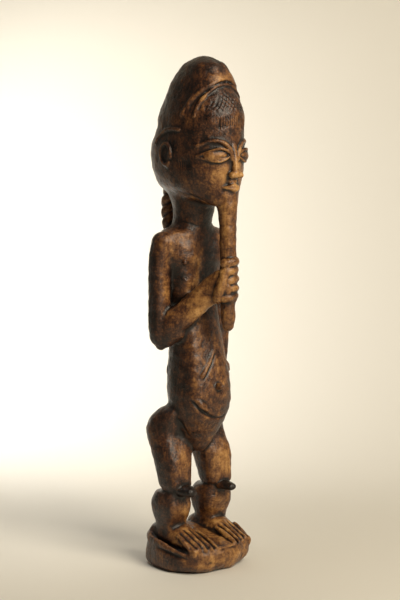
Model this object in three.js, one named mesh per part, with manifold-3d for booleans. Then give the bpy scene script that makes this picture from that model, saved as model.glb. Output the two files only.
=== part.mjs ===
// A standing man carved in one block of hardwood, together with the round plinth under his feet.
// He holds the end of his long beard in his right hand; his left arm hangs with the hand on his side.
// Millimetres, +Z up. He faces -Y, so his right hand is towards -X.
// The origin is the centre of the plinth's underside.
import * as THREE from "three";
import { mergeVertices } from "three/addons/utils/BufferGeometryUtils.js";
import Module from "manifold-3d";

// Driving dimensions: the heights of the carver's main marks up the block
const plinthTop = 20;
const ankle = 39;
const calf = 55;
const knee = 71;
const crotch = 105;
const seat = 118;
const fold = 132;
const navel = 163;
const waist = 199;
const ribs = 236;
const chest = 268;
const shoulder = 290;
const collar = 304;
const jaw = 322;
const eyeLevel = 366;
const hairEdge = 390;
const crown = 450;

// Driving dimensions: places and thicknesses
const plinthHalfWidth = 45;
const plinthHalfDepth = 41;
const legSpread = 23.5;
const armSpread = 35;
const armSetBack = 11;
const beardFront = -39;
const beardRadius = 7;
const beardTip = 214;
const neckBack = 8;
const neckRadius = 16.8;
const earSetBack = 4;

// A smooth curve through one column of a station table, read at any place along it
function smoothThrough(stations, column) {
  const place = stations.map((station) => station[0]);
  const value = stations.map((station) => station[column]);
  const last = place.length - 1;
  const slope = value.map((_, i) => {
    const before = Math.max(i - 1, 0);
    const after = Math.min(i + 1, last);
    return (value[after] - value[before]) / (place[after] - place[before]);
  });
  return (at) => {
    let i = 0;
    while (i < last - 1 && at > place[i + 1]) i += 1;
    const span = place[i + 1] - place[i];
    const t = THREE.MathUtils.clamp((at - place[i]) / span, 0, 1);
    const t2 = t * t;
    const t3 = t2 * t;
    return (
      (2 * t3 - 3 * t2 + 1) * value[i] +
      (t3 - 2 * t2 + t) * span * slope[i] +
      (3 * t2 - 2 * t3) * value[i + 1] +
      (t3 - t2) * span * slope[i + 1]
    );
  };
}

// One closed skin over rows of points, with a pole at each end
function skin(startPole, rows, endPole) {
  const count = rows[0].length;
  const points = [startPole, ...rows.flat(), endPole];
  const faces = [];
  for (let i = 0; i < count; i += 1) {
    const next = (i + 1) % count;
    faces.push(0, 1 + next, 1 + i);
    for (let row = 0; row < rows.length - 1; row += 1) {
      const a = 1 + row * count;
      const b = a + count;
      faces.push(a + i, a + next, b + next, a + i, b + next, b + i);
    }
    const top = 1 + (rows.length - 1) * count;
    faces.push(top + i, top + next, points.length - 1);
  }
  const geometry = new THREE.BufferGeometry().setFromPoints(points);
  geometry.setIndex(faces);
  return geometry;
}

// Places along a form: even steps, and finer ones where an end is rounded off
function stepsAlong(from, to, rings, startRound, endRound) {
  const places = [];
  const capSteps = 3;
  for (let i = startRound ? 1 : 0; startRound && i < capSteps; i += 1) {
    places.push(from + startRound * (1 - Math.cos((i / capSteps) * (Math.PI / 2))));
  }
  const first = from + startRound;
  const end = to - endRound;
  for (let i = 0; i <= rings; i += 1) places.push(first + ((end - first) * i) / rings);
  for (let i = capSteps - 1; endRound && i > 0; i -= 1) {
    places.push(to - endRound * (1 - Math.cos((i / capSteps) * (Math.PI / 2))));
  }
  return places;
}

// How much of its full section a form keeps at a place, where its ends are rounded off
function endScale(at, from, to, startRound, endRound) {
  const intoStart = startRound ? Math.max(0, 1 - (at - from) / startRound) : 0;
  const intoEnd = endRound ? Math.max(0, 1 - (to - at) / endRound) : 0;
  const into = Math.min(1, Math.max(intoStart, intoEnd));
  return Math.sqrt(1 - into * into);
}

// A form with level sections. Each station is height, centre x, centre y, half width, half depth and
// squareness, where 2 is an ellipse and more is squarer. Relief pushes a point out from the section.
function levelForm(stations, { sides, rings, bottomRound = 0, topRound = 0, relief = () => 0 }) {
  const from = stations[0][0];
  const to = stations.at(-1)[0];
  const [x, y, halfWidth, halfDepth, squareness] = [1, 2, 3, 4, 5].map((column) =>
    smoothThrough(stations, column),
  );
  const rows = stepsAlong(from, to, rings, bottomRound, topRound).map((z) => {
    const keep = endScale(z, from, to, bottomRound, topRound);
    return Array.from({ length: sides }, (_, i) => {
      const angle = (i / sides) * 2 * Math.PI;
      const across = Math.cos(angle);
      const along = Math.sin(angle);
      const power = squareness(z);
      const stretch = (Math.abs(across) ** power + Math.abs(along) ** power) ** (-1 / power);
      const out = stretch * keep;
      const point = new THREE.Vector3(
        x(z) + halfWidth(z) * across * out,
        y(z) + halfDepth(z) * along * out,
        z,
      );
      const push = relief(point.x, point.y, z);
      return point.add(new THREE.Vector3(across * push, along * push, 0));
    });
  });
  return skin(new THREE.Vector3(x(from), y(from), from), rows, new THREE.Vector3(x(to), y(to), to));
}

// A round limb along a smooth path, with rounded ends. Each station is x, y, z and radius.
function limb(stations, { sides, rings }) {
  const path = new THREE.CatmullRomCurve3(stations.map(([x, y, z]) => new THREE.Vector3(x, y, z)));
  const radius = smoothThrough(
    stations.map((station, i) => [i / (stations.length - 1), station[3]]),
    1,
  );
  const frames = path.computeFrenetFrames(rings, false);
  const ring = (i, forward, share) => {
    const centre = path.getPoint(i / rings).addScaledVector(frames.tangents[i], forward);
    return Array.from({ length: sides }, (_, side) => {
      const angle = (side / sides) * 2 * Math.PI;
      return centre
        .clone()
        .addScaledVector(frames.normals[i], Math.cos(angle) * radius(i / rings) * share)
        .addScaledVector(frames.binormals[i], Math.sin(angle) * radius(i / rings) * share);
    });
  };
  const domeShare = Math.SQRT1_2;
  const rows = [ring(0, -radius(0) * domeShare, domeShare)];
  for (let i = 0; i <= rings; i += 1) rows.push(ring(i, 0, 1));
  rows.push(ring(rings, radius(1) * domeShare, domeShare));
  const start = path.getPoint(0).addScaledVector(frames.tangents[0], -radius(0));
  const end = path.getPoint(1).addScaledVector(frames.tangents[rings], radius(1));
  return skin(start, rows, end);
}

// An egg-shaped boss: centre, half sizes, and turns about X, Y and Z in degrees
function boss(centre, half, turns = [0, 0, 0], detail = 10) {
  const geometry = new THREE.SphereGeometry(1, detail, Math.round(detail * 0.7));
  geometry.scale(...half);
  geometry.rotateX(THREE.MathUtils.degToRad(turns[0]));
  geometry.rotateY(THREE.MathUtils.degToRad(turns[1]));
  geometry.rotateZ(THREE.MathUtils.degToRad(turns[2]));
  return geometry.translate(...centre);
}

// Cutting and joining
const wasm = await Module();
wasm.setup();

function solidOf(geometry) {
  geometry.deleteAttribute("normal");
  geometry.deleteAttribute("uv");
  const merged = mergeVertices(geometry, 1e-4);
  return new wasm.Manifold(
    new wasm.Mesh({
      numProp: 3,
      vertProperties: merged.attributes.position.array,
      triVerts: new Uint32Array(merged.index.array),
    }),
  );
}

const joined = (forms) => forms.map(solidOf).reduce((whole, form) => whole.add(form));
const bothSides = (build) => [-1, 1].flatMap(build);

// Plinth: a slice of the log, drawn in a little towards its back at the bottom
function plinth() {
  const [w, d] = [plinthHalfWidth, plinthHalfDepth];
  return levelForm(
    [
      [0, -2, 3, w - 6, d - 5.5, 2.4],
      [3.5, -1.2, 1.5, w - 2.5, d - 2.5, 2.5],
      [11, 0, 0, w, d, 2.5],
      [plinthTop, 0, 0, w - 1, d - 1, 2.5],
    ],
    { sides: 32, rings: 3 },
  );
}

// Feet: long wedges, each laid along its length, whose toes end on the plinth's round outline.
// A low wedge of wood is left standing between them.
function foot(side) {
  const form = levelForm(
    [
      [-28, 0, 0, 10, 14, 2.4],
      [-16, 0, 0, 14, 18.3, 2.6],
      [2, 0, 0, 15.3, 18.8, 2.6],
      [20, 0, 0, 15.2, 11.5, 2.6],
      [41, 0, 0, 14, 4.6, 2.8],
    ],
    { sides: 16, rings: 4, bottomRound: 4 },
  );
  return form.rotateX(Math.PI / 2).translate(side * legSpread, 0, plinthTop);
}

function instep() {
  const form = levelForm(
    [
      [-24, 0, 0, 10, 7, 2],
      [0, 0, 0, 12, 8, 2],
      [36, 0, 0, 12, 1.5, 2],
    ],
    { sides: 12, rings: 2 },
  );
  return form.rotateX(Math.PI / 2).translate(-5, 0, plinthTop);
}

function feet() {
  const [w, d] = [plinthHalfWidth - 1.4, plinthHalfDepth - 1.8];
  const outline = levelForm(
    [
      [plinthTop - 5, 0, 0, w, d, 2.5],
      [plinthTop + 24, 0, 0, w - 1.5, d - 1.5, 2.5],
    ],
    { sides: 32, rings: 1 },
  );
  let pair = joined([foot(-1), foot(1), instep()]).intersect(solidOf(outline));
  for (const groove of bothSides(toeGrooves)) pair = pair.subtract(solidOf(groove));
  return pair;
}

function toeGrooves(side) {
  return [-8.2, -2.9, 2.9, 8.2].map((across) =>
    limb(
      [
        [side * legSpread + across * 0.9, -10, plinthTop + 16.6, 0.7],
        [side * legSpread + across, -24, plinthTop + 10.2, 1.6],
        [side * legSpread + across * 1.05, -42, plinthTop + 4, 1.9],
      ],
      { sides: 5, rings: 2 },
    ),
  );
}

// Legs: a full calf, a knee with a beak-like cap, and a heavy thigh that swells into the seat
function lowerLeg(side) {
  const x = side * legSpread;
  return levelForm(
    [
      [ankle - 6, x, 10, 12, 12.5, 2.2],
      [ankle + 1, x, 10, 12.8, 13, 2.2],
      [ankle + 8, x, 9.8, 15.6, 15.8, 2.2],
      [calf, x, 9.3, 17.2, 17.2, 2.1],
      [knee - 9, x, 8.8, 16, 15.8, 2.1],
      [knee - 2, x, 6.5, 12, 12, 2.1],
    ],
    { sides: 16, rings: 6 },
  );
}

function thigh(side) {
  const x = side * legSpread;
  return levelForm(
    [
      [knee - 4, x, 2.5, 10, 10, 2.2],
      [knee + 1, x, 3.5, 13, 13, 2.2],
      [knee + 9, x, 5.2, 14.2, 14.4, 2.2],
      [crotch - 8, x * 0.98, 8.6, 16.6, 16.4, 2.1],
      [seat - 9, x * 0.89, 13.8, 18.8, 17.3, 2.1],
      [seat, x * 0.86, 17.5, 19.6, 17.2, 2.1],
      [seat + 10, x * 0.85, 16.8, 18.8, 16.8, 2.1],
      [fold + 5, x * 0.8, 13.5, 16, 14.5, 2.1],
      [fold + 14, x * 0.7, 10, 11, 11, 2.1],
    ],
    { sides: 16, rings: 8, bottomRound: 4, topRound: 7 },
  );
}

function kneeCap(side) {
  const reach = 12.5 + side * 1.8;
  return boss([side * legSpread, -8.5, knee - 0.3], [7.5, reach, 4.8], [0, 0, 0], 8);
}

// Trunk: a long column that leans back at the chest and swells forward at the belly
const trunkStations = [
  [crotch - 1, 0, -5, 4, 5, 2],
  [crotch + 7, 0, -5, 12, 12.5, 2],
  [seat + 2, 0, -4, 18, 16.5, 2],
  [fold - 2, 0, -3, 23.5, 21.5, 2],
  [fold + 11, 0, -1.5, 27, 25.5, 2.1],
  [navel - 3, 0, -0.5, 28, 27, 2.1],
  [navel + 16, 0, 0.8, 26.5, 24.8, 2.1],
  [waist, 0, 2.5, 25, 21.5, 2.1],
  [waist + 22, 0, 7, 24.3, 20.3, 2.1],
  [ribs, 0, 9, 24.5, 19, 2.2],
  [chest - 4, 0, 9.5, 29, 18.8, 2.3],
  [chest + 8, 0, 9.3, 33, 18.8, 2.4],
  [shoulder + 1, 0, 9, 36.5, 17.8, 2.3],
  [collar + 1, 0, 8.5, 31, 15.5, 2.2],
];

function trunk() {
  return levelForm(trunkStations, { sides: 22, rings: 15, topRound: 8 });
}

// A point on the trunk's skin: angle round from the front towards his left, and height
function onTrunk(degrees, z) {
  const [y, halfWidth, halfDepth] = [2, 3, 4].map((column) => smoothThrough(trunkStations, column)(z));
  const angle = THREE.MathUtils.degToRad(degrees);
  return [halfWidth * Math.sin(angle), y - halfDepth * Math.cos(angle), z];
}

function bellyMarks() {
  const ribArch = bothSides((side) =>
    limb(
      [
        [...onTrunk(side * 4, waist - 5), 1.4],
        [...onTrunk(side * 18, waist - 15), 1.8],
        [...onTrunk(side * 34, navel + 11), 2.6],
      ],
      { sides: 6, rings: 5 },
    ),
  );
  const [, front] = onTrunk(0, navel);
  const navelKnob = limb(
    [
      [0, front + 3, navel, 3.6],
      [0, front - 4, navel + 0.5, 2.8],
    ],
    { sides: 8, rings: 1 },
  );
  const [raisedX, raisedY, raisedZ] = onTrunk(-35, navel - 17);
  const raisedOval = boss([raisedX, raisedY, raisedZ], [4.8, 2.6, 3.6], [0, 25, -35], 7);
  const nipples = bothSides((side) => [boss([side * 23.5, -5.5, chest], [2.4, 2.2, 2.4], [0, 0, 0], 5)]);
  return [...ribArch, navelKnob, raisedOval, ...nipples];
}

// Arms: the right hand comes up to the beard, the left hangs and turns in to the side
function arms() {
  const upper = (side, end) => [
    [side * (armSpread - 3.5), armSetBack - 2, shoulder - 1, 11.2],
    [side * (armSpread - 1), armSetBack - 0.5, shoulder - 13, 10.2],
    [side * armSpread, armSetBack, ribs + 20, 9.7],
    [side * armSpread, armSetBack, ribs - 4, 9.6],
    ...end,
  ];
  const rightUpper = upper(-1, [[-armSpread, armSetBack, waist + 8, 9.6]]);
  const rightForearm = [
    [-armSpread + 1.5, armSetBack - 2.5, waist + 9.5, 10.2],
    [-28, -0.5, waist + 20.5, 12.6],
    [-20, -12, waist + 33, 11.6],
    [-13, -23, waist + 43.5, 10],
    [-8, -32, waist + 52.5, 9],
  ];
  const left = upper(1, [
    [armSpread, armSetBack, waist + 8, 9.8],
    [armSpread - 2.5, armSetBack - 6, waist - 16, 8],
    [armSpread - 5.5, armSetBack - 12, navel + 4, 6],
  ]);
  const leftHand = boss([armSpread - 6.5, armSetBack - 15, navel - 5], [4.5, 7.5, 9.5], [0, 0, -25], 10);
  return [
    limb(rightUpper, { sides: 12, rings: 7 }),
    limb(rightForearm, { sides: 12, rings: 6 }),
    limb(left, { sides: 10, rings: 8 }),
    leftHand,
  ];
}

// The right hand: its back lies beside the beard, and four fingers and a thumb go round the front
function hand() {
  const digit = (z, proud) =>
    limb(
      [
        [-6.5, beardFront - 3.5, z - 0.6, 3.7],
        [-2.5, beardFront - 5.2 - proud, z, 3.8],
        [3, beardFront - 4.6 - proud, z, 3.9],
        [7, beardFront - 2, z, 3.4],
      ],
      { sides: 7, rings: 3 },
    );
  const digits = [244.4, 251.6, 259.2, 267, 274.8].map((z, i) => digit(z, [0, 0.5, 0, -0.7, 0.8][i]));
  const back = boss([-7, beardFront - 0.5, 257.5], [6, 9.5, 17.5], [-8, 0, 12], 9);
  const grip = limb(
    [
      [0, beardFront - 1, 243.5, 7.3],
      [0, beardFront - 1, 275.5, 7.3],
    ],
    { sides: 8, rings: 1 },
  );
  return [...digits, back, grip];
}

// Neck and beard
function neck() {
  return levelForm(
    [
      [collar - 14, 0, neckBack, neckRadius + 6, neckRadius + 1, 2],
      [collar - 1, 0, neckBack, neckRadius + 2, neckRadius + 0.5, 2],
      [collar + 4, 0, neckBack, neckRadius, neckRadius, 2],
      [jaw - 2, 0, neckBack - 1, neckRadius - 0.3, neckRadius, 2],
      [jaw + 16, 0, neckBack + 2, neckRadius + 4, neckRadius + 7, 2],
    ],
    { sides: 14, rings: 4 },
  );
}

function beard() {
  return limb(
    [
      [0, beardFront + 3, jaw + 10, beardRadius + 6],
      [0, beardFront + 0.5, jaw + 1, beardRadius + 2],
      [0, beardFront, jaw - 10, beardRadius + 0.6],
      [0, beardFront, chest + 20, beardRadius + 0.2],
      [0, beardFront, chest - 10, beardRadius - 0.2],
      [0, beardFront, ribs, beardRadius - 0.6],
      [0, beardFront, beardTip + 4.5, beardRadius - 2],
    ],
    { sides: 10, rings: 7 },
  );
}

// Head: an egg-shaped skull, drawn forward to the chin and back to the nape
const headStations = [
  [jaw - 1, 0, -33, 9, 10, 2],
  [jaw + 3, 0, -26, 14.5, 19.5, 2],
  [jaw + 9, 0, -12, 21, 33, 2],
  [jaw + 15, 0, -4, 25.5, 40, 2.1],
  [jaw + 21, 0, -1.5, 29, 42.5, 2.15],
  [jaw + 30, 0, 0.3, 31.6, 46, 2.15],
  [eyeLevel + 3, 0, 1, 33, 47.5, 2.15],
  [hairEdge - 10, 0, 0.3, 32, 45, 2.1],
  [hairEdge - 3, 0, -2, 31, 42, 2.1],
  [hairEdge + 10, 0, -3.5, 29, 43, 2.1],
  [hairEdge + 21, 0, -4.5, 26, 41, 2],
  [hairEdge + 31, 0, -5.2, 22.4, 36.2, 2],
  [hairEdge + 41, 0, -6.5, 18.2, 31, 2],
  [hairEdge + 48, 0, -7, 13, 24, 2],
];

function skull() {
  return levelForm(headStations, { sides: 22, rings: 11, bottomRound: 3, topRound: 4 });
}

// The bonnet of hair, cut open over the forehead by a round arch with a raised rim inside it
const bonnetStations = [
  [hairEdge - 2, 0, -6.5, 31.8, 40.8, 2.1],
  [hairEdge + 2, 0, -7, 32, 40.8, 2.1],
  [hairEdge + 10, 0, -6, 30.5, 40, 2.05],
  [hairEdge + 23, 0, -5.2, 26.8, 37.8, 2],
  [hairEdge + 31, 0, -5.8, 23.5, 36.5, 2],
  [hairEdge + 40, 0, -6.7, 20, 32.5, 2],
  [hairEdge + 48, 0, -7.2, 15.7, 27, 2],
  [crown, 0, -7.5, 9.5, 18, 2],
];
const archHalfWidth = 31;
const archFoot = hairEdge - 2;
const archTop = hairEdge + 40;

function bonnet() {
  const dome = levelForm(bonnetStations, { sides: 22, rings: 6, topRound: 7 });
  const arch = new THREE.CylinderGeometry(1, 1, 60, 24);
  arch.scale(archHalfWidth, 1, archTop - archFoot);
  arch.translate(0, -38, archFoot);
  return solidOf(dome).subtract(solidOf(arch));
}

function archRim() {
  const points = [-72, -56, -36, -16, 0, 16, 36, 56, 72].map((degrees) => {
    const angle = THREE.MathUtils.degToRad(degrees);
    const x = (archHalfWidth - 1.5) * Math.sin(angle);
    const z = archFoot + (archTop - 5.5 - archFoot) * Math.cos(angle);
    const [y, halfWidth, halfDepth] = [2, 3, 4].map((column) => smoothThrough(headStations, column)(z));
    const across = Math.min(0.99, Math.abs(x) / halfWidth);
    return [x, y - halfDepth * Math.sqrt(1 - across * across) - 0.2, z, 1.8];
  });
  return limb(points, { sides: 5, rings: 12 });
}

// Ears: a raised oval rim round a hollow, under a curved band at the edge of the hair
function ear(side) {
  const centre = [side * 32.5, earSetBack, eyeLevel];
  const shell = solidOf(boss(centre, [4, 7.5, 10.8], [0, 0, 0], 10));
  const hollow = solidOf(boss([side * 37.5, earSetBack - 2, eyeLevel], [4, 4.5, 7.5], [0, 0, 0], 7));
  return shell.subtract(hollow);
}

function hairBand(side) {
  return limb(
    [
      [side * 32, -8, hairEdge - 4, 1.4],
      [side * 33, 8, hairEdge - 5, 1.8],
      [side * 30, 21, hairEdge - 9, 1.8],
      [side * 27, 28.5, hairEdge - 18, 1.4],
    ],
    { sides: 5, rings: 6 },
  );
}

// Face: a calm mask laid out by thirds, with long lids, a narrow nose and small lips
function face() {
  const front = -47;
  const eyes = bothSides((side) => [
    boss([side * 16, front + 8.5, eyeLevel - 1], [10.5, 6, 6], [0, 0, side * 33], 8),
    limb(
      [
        [side * 3, front + 0.5, eyeLevel - 2, 1.6],
        [side * 6, front + 0.5, eyeLevel + 8, 1.6],
        [side * 15, front + 6, eyeLevel + 12, 1.7],
        [side * 26, front + 19, eyeLevel + 7, 1.4],
      ],
      { sides: 5, rings: 6 },
    ),
  ]);
  const nose = limb(
    [
      [0, front + 2, eyeLevel + 6, 3],
      [0, front - 1, eyeLevel - 8, 3],
      [0, front - 2.5, eyeLevel - 20, 3.6],
    ],
    { sides: 8, rings: 4 },
  );
  const nostrils = bothSides((side) => [
    boss([side * 4.6, front + 1, eyeLevel - 20], [2.8, 3.2, 2.8], [0, 0, 0], 6),
  ]);
  const lips = [-1.8, 1.8].map((up) =>
    boss([0, front + 4, eyeLevel - 32 + up], [7.5, 5, 2.3], [0, 0, 0], 8),
  );
  return [...eyes, nose, ...nostrils, ...lips];
}

// Braid: a rope of lobes down the nape
function braid() {
  const lobes = 5;
  const steps = lobes * 3;
  const path = new THREE.CatmullRomCurve3([
    new THREE.Vector3(0, 36, jaw + 14),
    new THREE.Vector3(0, 39, jaw - 1),
    new THREE.Vector3(0, 38.5, collar + 3),
    new THREE.Vector3(0, 33, shoulder),
    new THREE.Vector3(0, 25, shoulder - 18),
  ]);
  const stations = Array.from({ length: steps + 1 }, (_, i) => {
    const t = i / steps;
    return [...path.getPoint(t).toArray(), 6.6 + 0.9 * Math.cos(t * lobes * 2 * Math.PI)];
  });
  return limb(stations, { sides: 7, rings: steps });
}

const material = new THREE.MeshStandardMaterial({ color: 0x4a2f1c, roughness: 0.45, metalness: 0 });

let body = joined([
  plinth(),
  ...bothSides((side) => [lowerLeg(side), thigh(side), kneeCap(side), hairBand(side)]),
  trunk(),
  ...bellyMarks(),
  ...arms(),
  ...hand(),
  neck(),
  beard(),
  skull(),
  archRim(),
  ...face(),
  braid(),
]);
for (const form of [feet(), bonnet(), ear(-1), ear(1)]) body = body.add(form);

const { vertProperties, triVerts } = body.getMesh();
const geometry = new THREE.BufferGeometry();
geometry.setAttribute("position", new THREE.BufferAttribute(vertProperties, 3));
geometry.setIndex(new THREE.BufferAttribute(triVerts, 1));
geometry.computeVertexNormals();

const figure = new THREE.Mesh(geometry, material);
figure.name = "male_figure";

const part = new THREE.Group();
part.add(figure);

export default part;
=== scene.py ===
import math

import bpy
import numpy as np
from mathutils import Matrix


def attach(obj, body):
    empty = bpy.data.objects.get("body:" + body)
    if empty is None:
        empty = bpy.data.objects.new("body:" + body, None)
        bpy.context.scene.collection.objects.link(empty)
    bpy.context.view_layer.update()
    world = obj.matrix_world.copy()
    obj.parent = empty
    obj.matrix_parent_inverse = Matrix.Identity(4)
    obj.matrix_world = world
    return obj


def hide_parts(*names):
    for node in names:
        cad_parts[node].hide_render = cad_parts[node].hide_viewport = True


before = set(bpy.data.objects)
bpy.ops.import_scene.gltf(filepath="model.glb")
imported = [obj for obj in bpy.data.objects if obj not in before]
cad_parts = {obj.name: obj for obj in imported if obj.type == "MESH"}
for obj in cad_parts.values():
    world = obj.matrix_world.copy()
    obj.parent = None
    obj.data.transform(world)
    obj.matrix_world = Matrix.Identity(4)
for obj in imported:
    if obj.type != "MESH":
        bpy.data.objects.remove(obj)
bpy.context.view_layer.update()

# The plinth is a round slice of the log, left standing under the feet in the same block of hardwood.
# The carver trimmed it with an adze, so its wall is drawn in at the foot and is never quite true.
# All sizes are millimetres; the skin is scaled to metres when it becomes a mesh.
MM = 0.001
PLINTH_TOP = 20.0
PLINTH_HALF = (44.9, 40.9)


def read_table(stations, at):
    """A smooth curve through a table. Between two stations each column follows the cubic that
    leaves both with the slope of the chord between their neighbours. Column 0 is the place."""
    table = np.asarray(stations, float)
    place, value = table[:, 0], table[:, 1:]
    before = np.maximum(np.arange(len(place)) - 1, 0)
    after = np.minimum(np.arange(len(place)) + 1, len(place) - 1)
    slope = (value[after] - value[before]) / (place[after] - place[before])[:, None]
    at = np.asarray(at, float)
    i = np.clip(np.searchsorted(place, at, side="right") - 1, 0, len(place) - 2)
    span = (place[i + 1] - place[i])[:, None]
    t = np.clip((at - place[i])[:, None] / span, 0, 1)
    return ((2 * t**3 - 3 * t**2 + 1) * value[i] + (t**3 - 2 * t**2 + t) * span * slope[i]
            + (3 * t**2 - 2 * t**3) * value[i + 1] + (t**3 - t**2) * span * slope[i + 1])


def closed(rows, start, end):
    """Triangles over a grid of points: each square between two rows and two columns is halved,
    and a fan of triangles closes the first and the last row on a pole."""
    count, sides = rows.shape[:2]
    points = np.concatenate([[start], rows.reshape(-1, 3), [end]])
    ring = np.arange(sides)
    after = np.roll(ring, -1)
    low = 1 + np.arange(count - 1)[:, None] * sides
    a, b = low + ring, low + after
    top = 1 + (count - 1) * sides
    faces = [np.stack([a, b, b + sides], -1), np.stack([a, b + sides, a + sides], -1),
             np.stack([0 * ring, 1 + after, 1 + ring], -1),
             np.stack([top + ring, top + after, 0 * ring + len(points) - 1], -1)]
    return points, np.concatenate([f.reshape(-1, 3) for f in faces])


def level_form(stations, bottom=0.0, top=0.0, relief=None, sides=120, step=1.2):
    """Level sections piled up the block. A section is centre + half sizes * (cos u, sin u) / s,
    where s is the root of the power sum of |cos u| and |sin u|: power 2 is an ellipse, more is
    squarer. Ends are rounded over `bottom` and `top`. relief(x, y, z, u) is added outwards."""
    start, end = stations[0][0], stations[-1][0]
    turn = np.linspace(0, math.pi / 2, 9)[:-1]
    body = np.linspace(start + bottom, end - top, max(2, round((end - start) / step)))
    low = start + bottom * (1 - np.sin(turn)) if bottom else []
    high = end - top * (1 - np.sin(turn)) if top else []
    z = np.unique(np.concatenate([np.sort(low), body, high]))
    into = np.clip(np.maximum(1 - (z - start) / (bottom or 1e-6), 1 - (end - z) / (top or 1e-6)), 0, 1)
    z, keep = z[into < 0.999], np.sqrt(1 - into[into < 0.999] ** 2)
    x, y, a, b, power = read_table(stations, z).T[:, :, None]
    u = np.linspace(0, 2 * math.pi, sides, endpoint=False)
    c, s = np.cos(u), np.sin(u)
    out = keep[:, None] * (np.abs(c) ** power + np.abs(s) ** power) ** (-1 / power)
    rows = np.stack([x + a * c * out, y + b * s * out, np.broadcast_to(z[:, None], out.shape)], -1)
    if relief:
        rows[..., :2] += relief(*np.moveaxis(rows, -1, 0), u)[..., None] * np.stack([c, s], -1)
    poles = [np.append(read_table(stations, [end_z])[0, :2], end_z) for end_z in (start, end)]
    return closed(rows, *poles)


def adze_marks(x, y, z, u):
    """Shallow flats round the wall: a few waves of different length that drift with height."""
    return 0.35 * np.sin(3 * u + 0.9) + 0.3 * np.sin(8 * u + z / 9) + 0.22 * np.sin(13 * u - z / 6 + 2)


blank = [level_form([(0, -2, 2.4, 39.2, 35.8, 2.4), (2.2, -1.6, 1.8, 41.8, 37.8, 2.45),
                     (6, -0.7, 0.6, 44, 40, 2.5), (12, 0, 0, *PLINTH_HALF, 2.5),
                     (PLINTH_TOP - 1.5, 0, 0, 44.2, 40.2, 2.5), (PLINTH_TOP, 0, 0, 43, 39, 2.5)],
                    relief=adze_marks, sides=240)]


# The feet are long wedges left standing on the plinth, with an instep that falls to the toes.
# A tongue of wood stays between them, the toes end flush with a step cut along the front, and on
# his right a lip rises along the plinth's edge to the heel, with a trench between lip and foot.
LEG_X, FOOT_X = 23.5, 22.6


def limb(points, up=(0, 0, 1), sides=40, step=0.8, power=2.0):
    """A profile carried along a smooth path. Rows are centre + (wide * cos u * side + high *
    sin u * up) / s, where side is square to the path and to `up`, and s is the root of the power
    sum of |cos u| and |sin u|. A station is x, y, z, wide and, where it isn't round, high. Each
    end is closed by half an egg."""
    table = np.array([list(p) + [p[3]] * (5 - len(p)) for p in points], float)
    stations = np.column_stack([np.linspace(0, 1, len(table)), table])
    length = np.linalg.norm(np.diff(table[:, :3], axis=0), axis=1).sum()
    t = np.linspace(0, 1, max(4, round(length / step)))
    row = read_table(stations, t)
    centre, wide, high = row[:, :3], row[:, 3:4], row[:, 4:5]
    along = np.gradient(centre, axis=0)
    along /= np.linalg.norm(along, axis=1, keepdims=True)
    side = np.cross(np.asarray(up, float), along)
    side /= np.linalg.norm(side, axis=1, keepdims=True)
    above = np.cross(along, side)
    turn = np.linspace(0, math.pi / 2, 8)[1:-1][:, None]
    reach = [min(wide[i, 0], high[i, 0]) for i in (0, -1)]
    centre = np.concatenate([(centre[0] - along[0] * reach[0] * np.sin(turn))[::-1], centre,
                             centre[-1] + along[-1] * reach[1] * np.sin(turn)])
    keep = np.concatenate([np.cos(turn)[::-1], np.ones((len(t), 1)), np.cos(turn)])
    pad = ((len(turn), len(turn)), (0, 0))
    wide, high, side, above = (np.pad(v, pad, mode="edge") for v in (wide, high, side, above))
    u = np.linspace(0, 2 * math.pi, sides, endpoint=False)[None, :, None]
    out = (np.abs(np.cos(u)) ** power + np.abs(np.sin(u)) ** power) ** (-1 / power)
    rows = (centre[:, None] + (wide * keep * side)[:, None] * np.cos(u) * out
            + (high * keep * above)[:, None] * np.sin(u) * out)
    first, last = table[0, :3] - along[0] * reach[0], table[-1, :3] + along[-1] * reach[1]
    return closed(rows, first, last)


def laid_forward(form, x):
    """A level form turned to lie from back to front: its height becomes minus Y, and it rests on
    the plinth's top at x."""
    points, faces = form
    return np.stack([points[:, 0] + x, -points[:, 2], points[:, 1] + PLINTH_TOP], -1), faces


for side in (-1, 1):
    blank.append(laid_forward(level_form([
        (-32, 0, 0, 13.2, 13.5, 2.8), (-24, 0, 0, 14, 17.6, 2.8), (-16, 0, 0, 14, 18.8, 2.7),
        (2, 0, 0, 13.8, 18.2, 2.5), (12, 0, 0, 13.4, 14.8, 2.5), (24, 0, 0, 13, 9.4, 2.6),
        (35, 0, 0, 12.4, 4.6, 2.8)], bottom=5), side * FOOT_X))
blank.append(laid_forward(level_form([
    (-30, 0, 0, 12, 10.5, 2.2), (-22, 0, 0, 13, 13.6, 2.2), (-8, 0, 0, 13, 12.4, 2.2),
    (8, 0, 0, 13, 9.6, 2.2), (24, 0, 0, 13, 6.4, 2.2), (36, 0, 0, 13, 3.6, 2.2)]), 0))
blank.append(level_form([(14, 0, -16, 33, 24.2, 2.4), (22.4, 0, -16, 32.6, 23.9, 2.4),
                         (23.4, 0, -16, 31.8, 23.1, 2.4)], sides=160))
blank.append(limb([(-31, 31, 23.6, 2.2, 4.8), (-37.2, 23.5, 24.2, 2.3, 5.2), (-41.2, 11, 23, 2.3, 4.6),
                   (-42.2, -2, 21.4, 2.3, 4), (-41, -13, 19.6, 2.3, 3.2), (-37.8, -22, 18.2, 2.3, 2.6)]))


# The legs are short and heavy. A calf like a ball and a thigh that swells into the seat meet at a
# slim knee. The knife left a soft ridge down the front of each, where two flat cuts meet.
def keel(angle, height, wide=0.42):
    """Relief for a soft ridge: a bell curve of the angle round the form, centred at `angle`
    degrees, `height` proud."""
    centre = math.radians(angle)
    return lambda x, y, z, u: height * np.exp(
        -(((u - centre + math.pi) % (2 * math.pi) - math.pi) / wide) ** 2) * np.ones_like(z)


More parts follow.
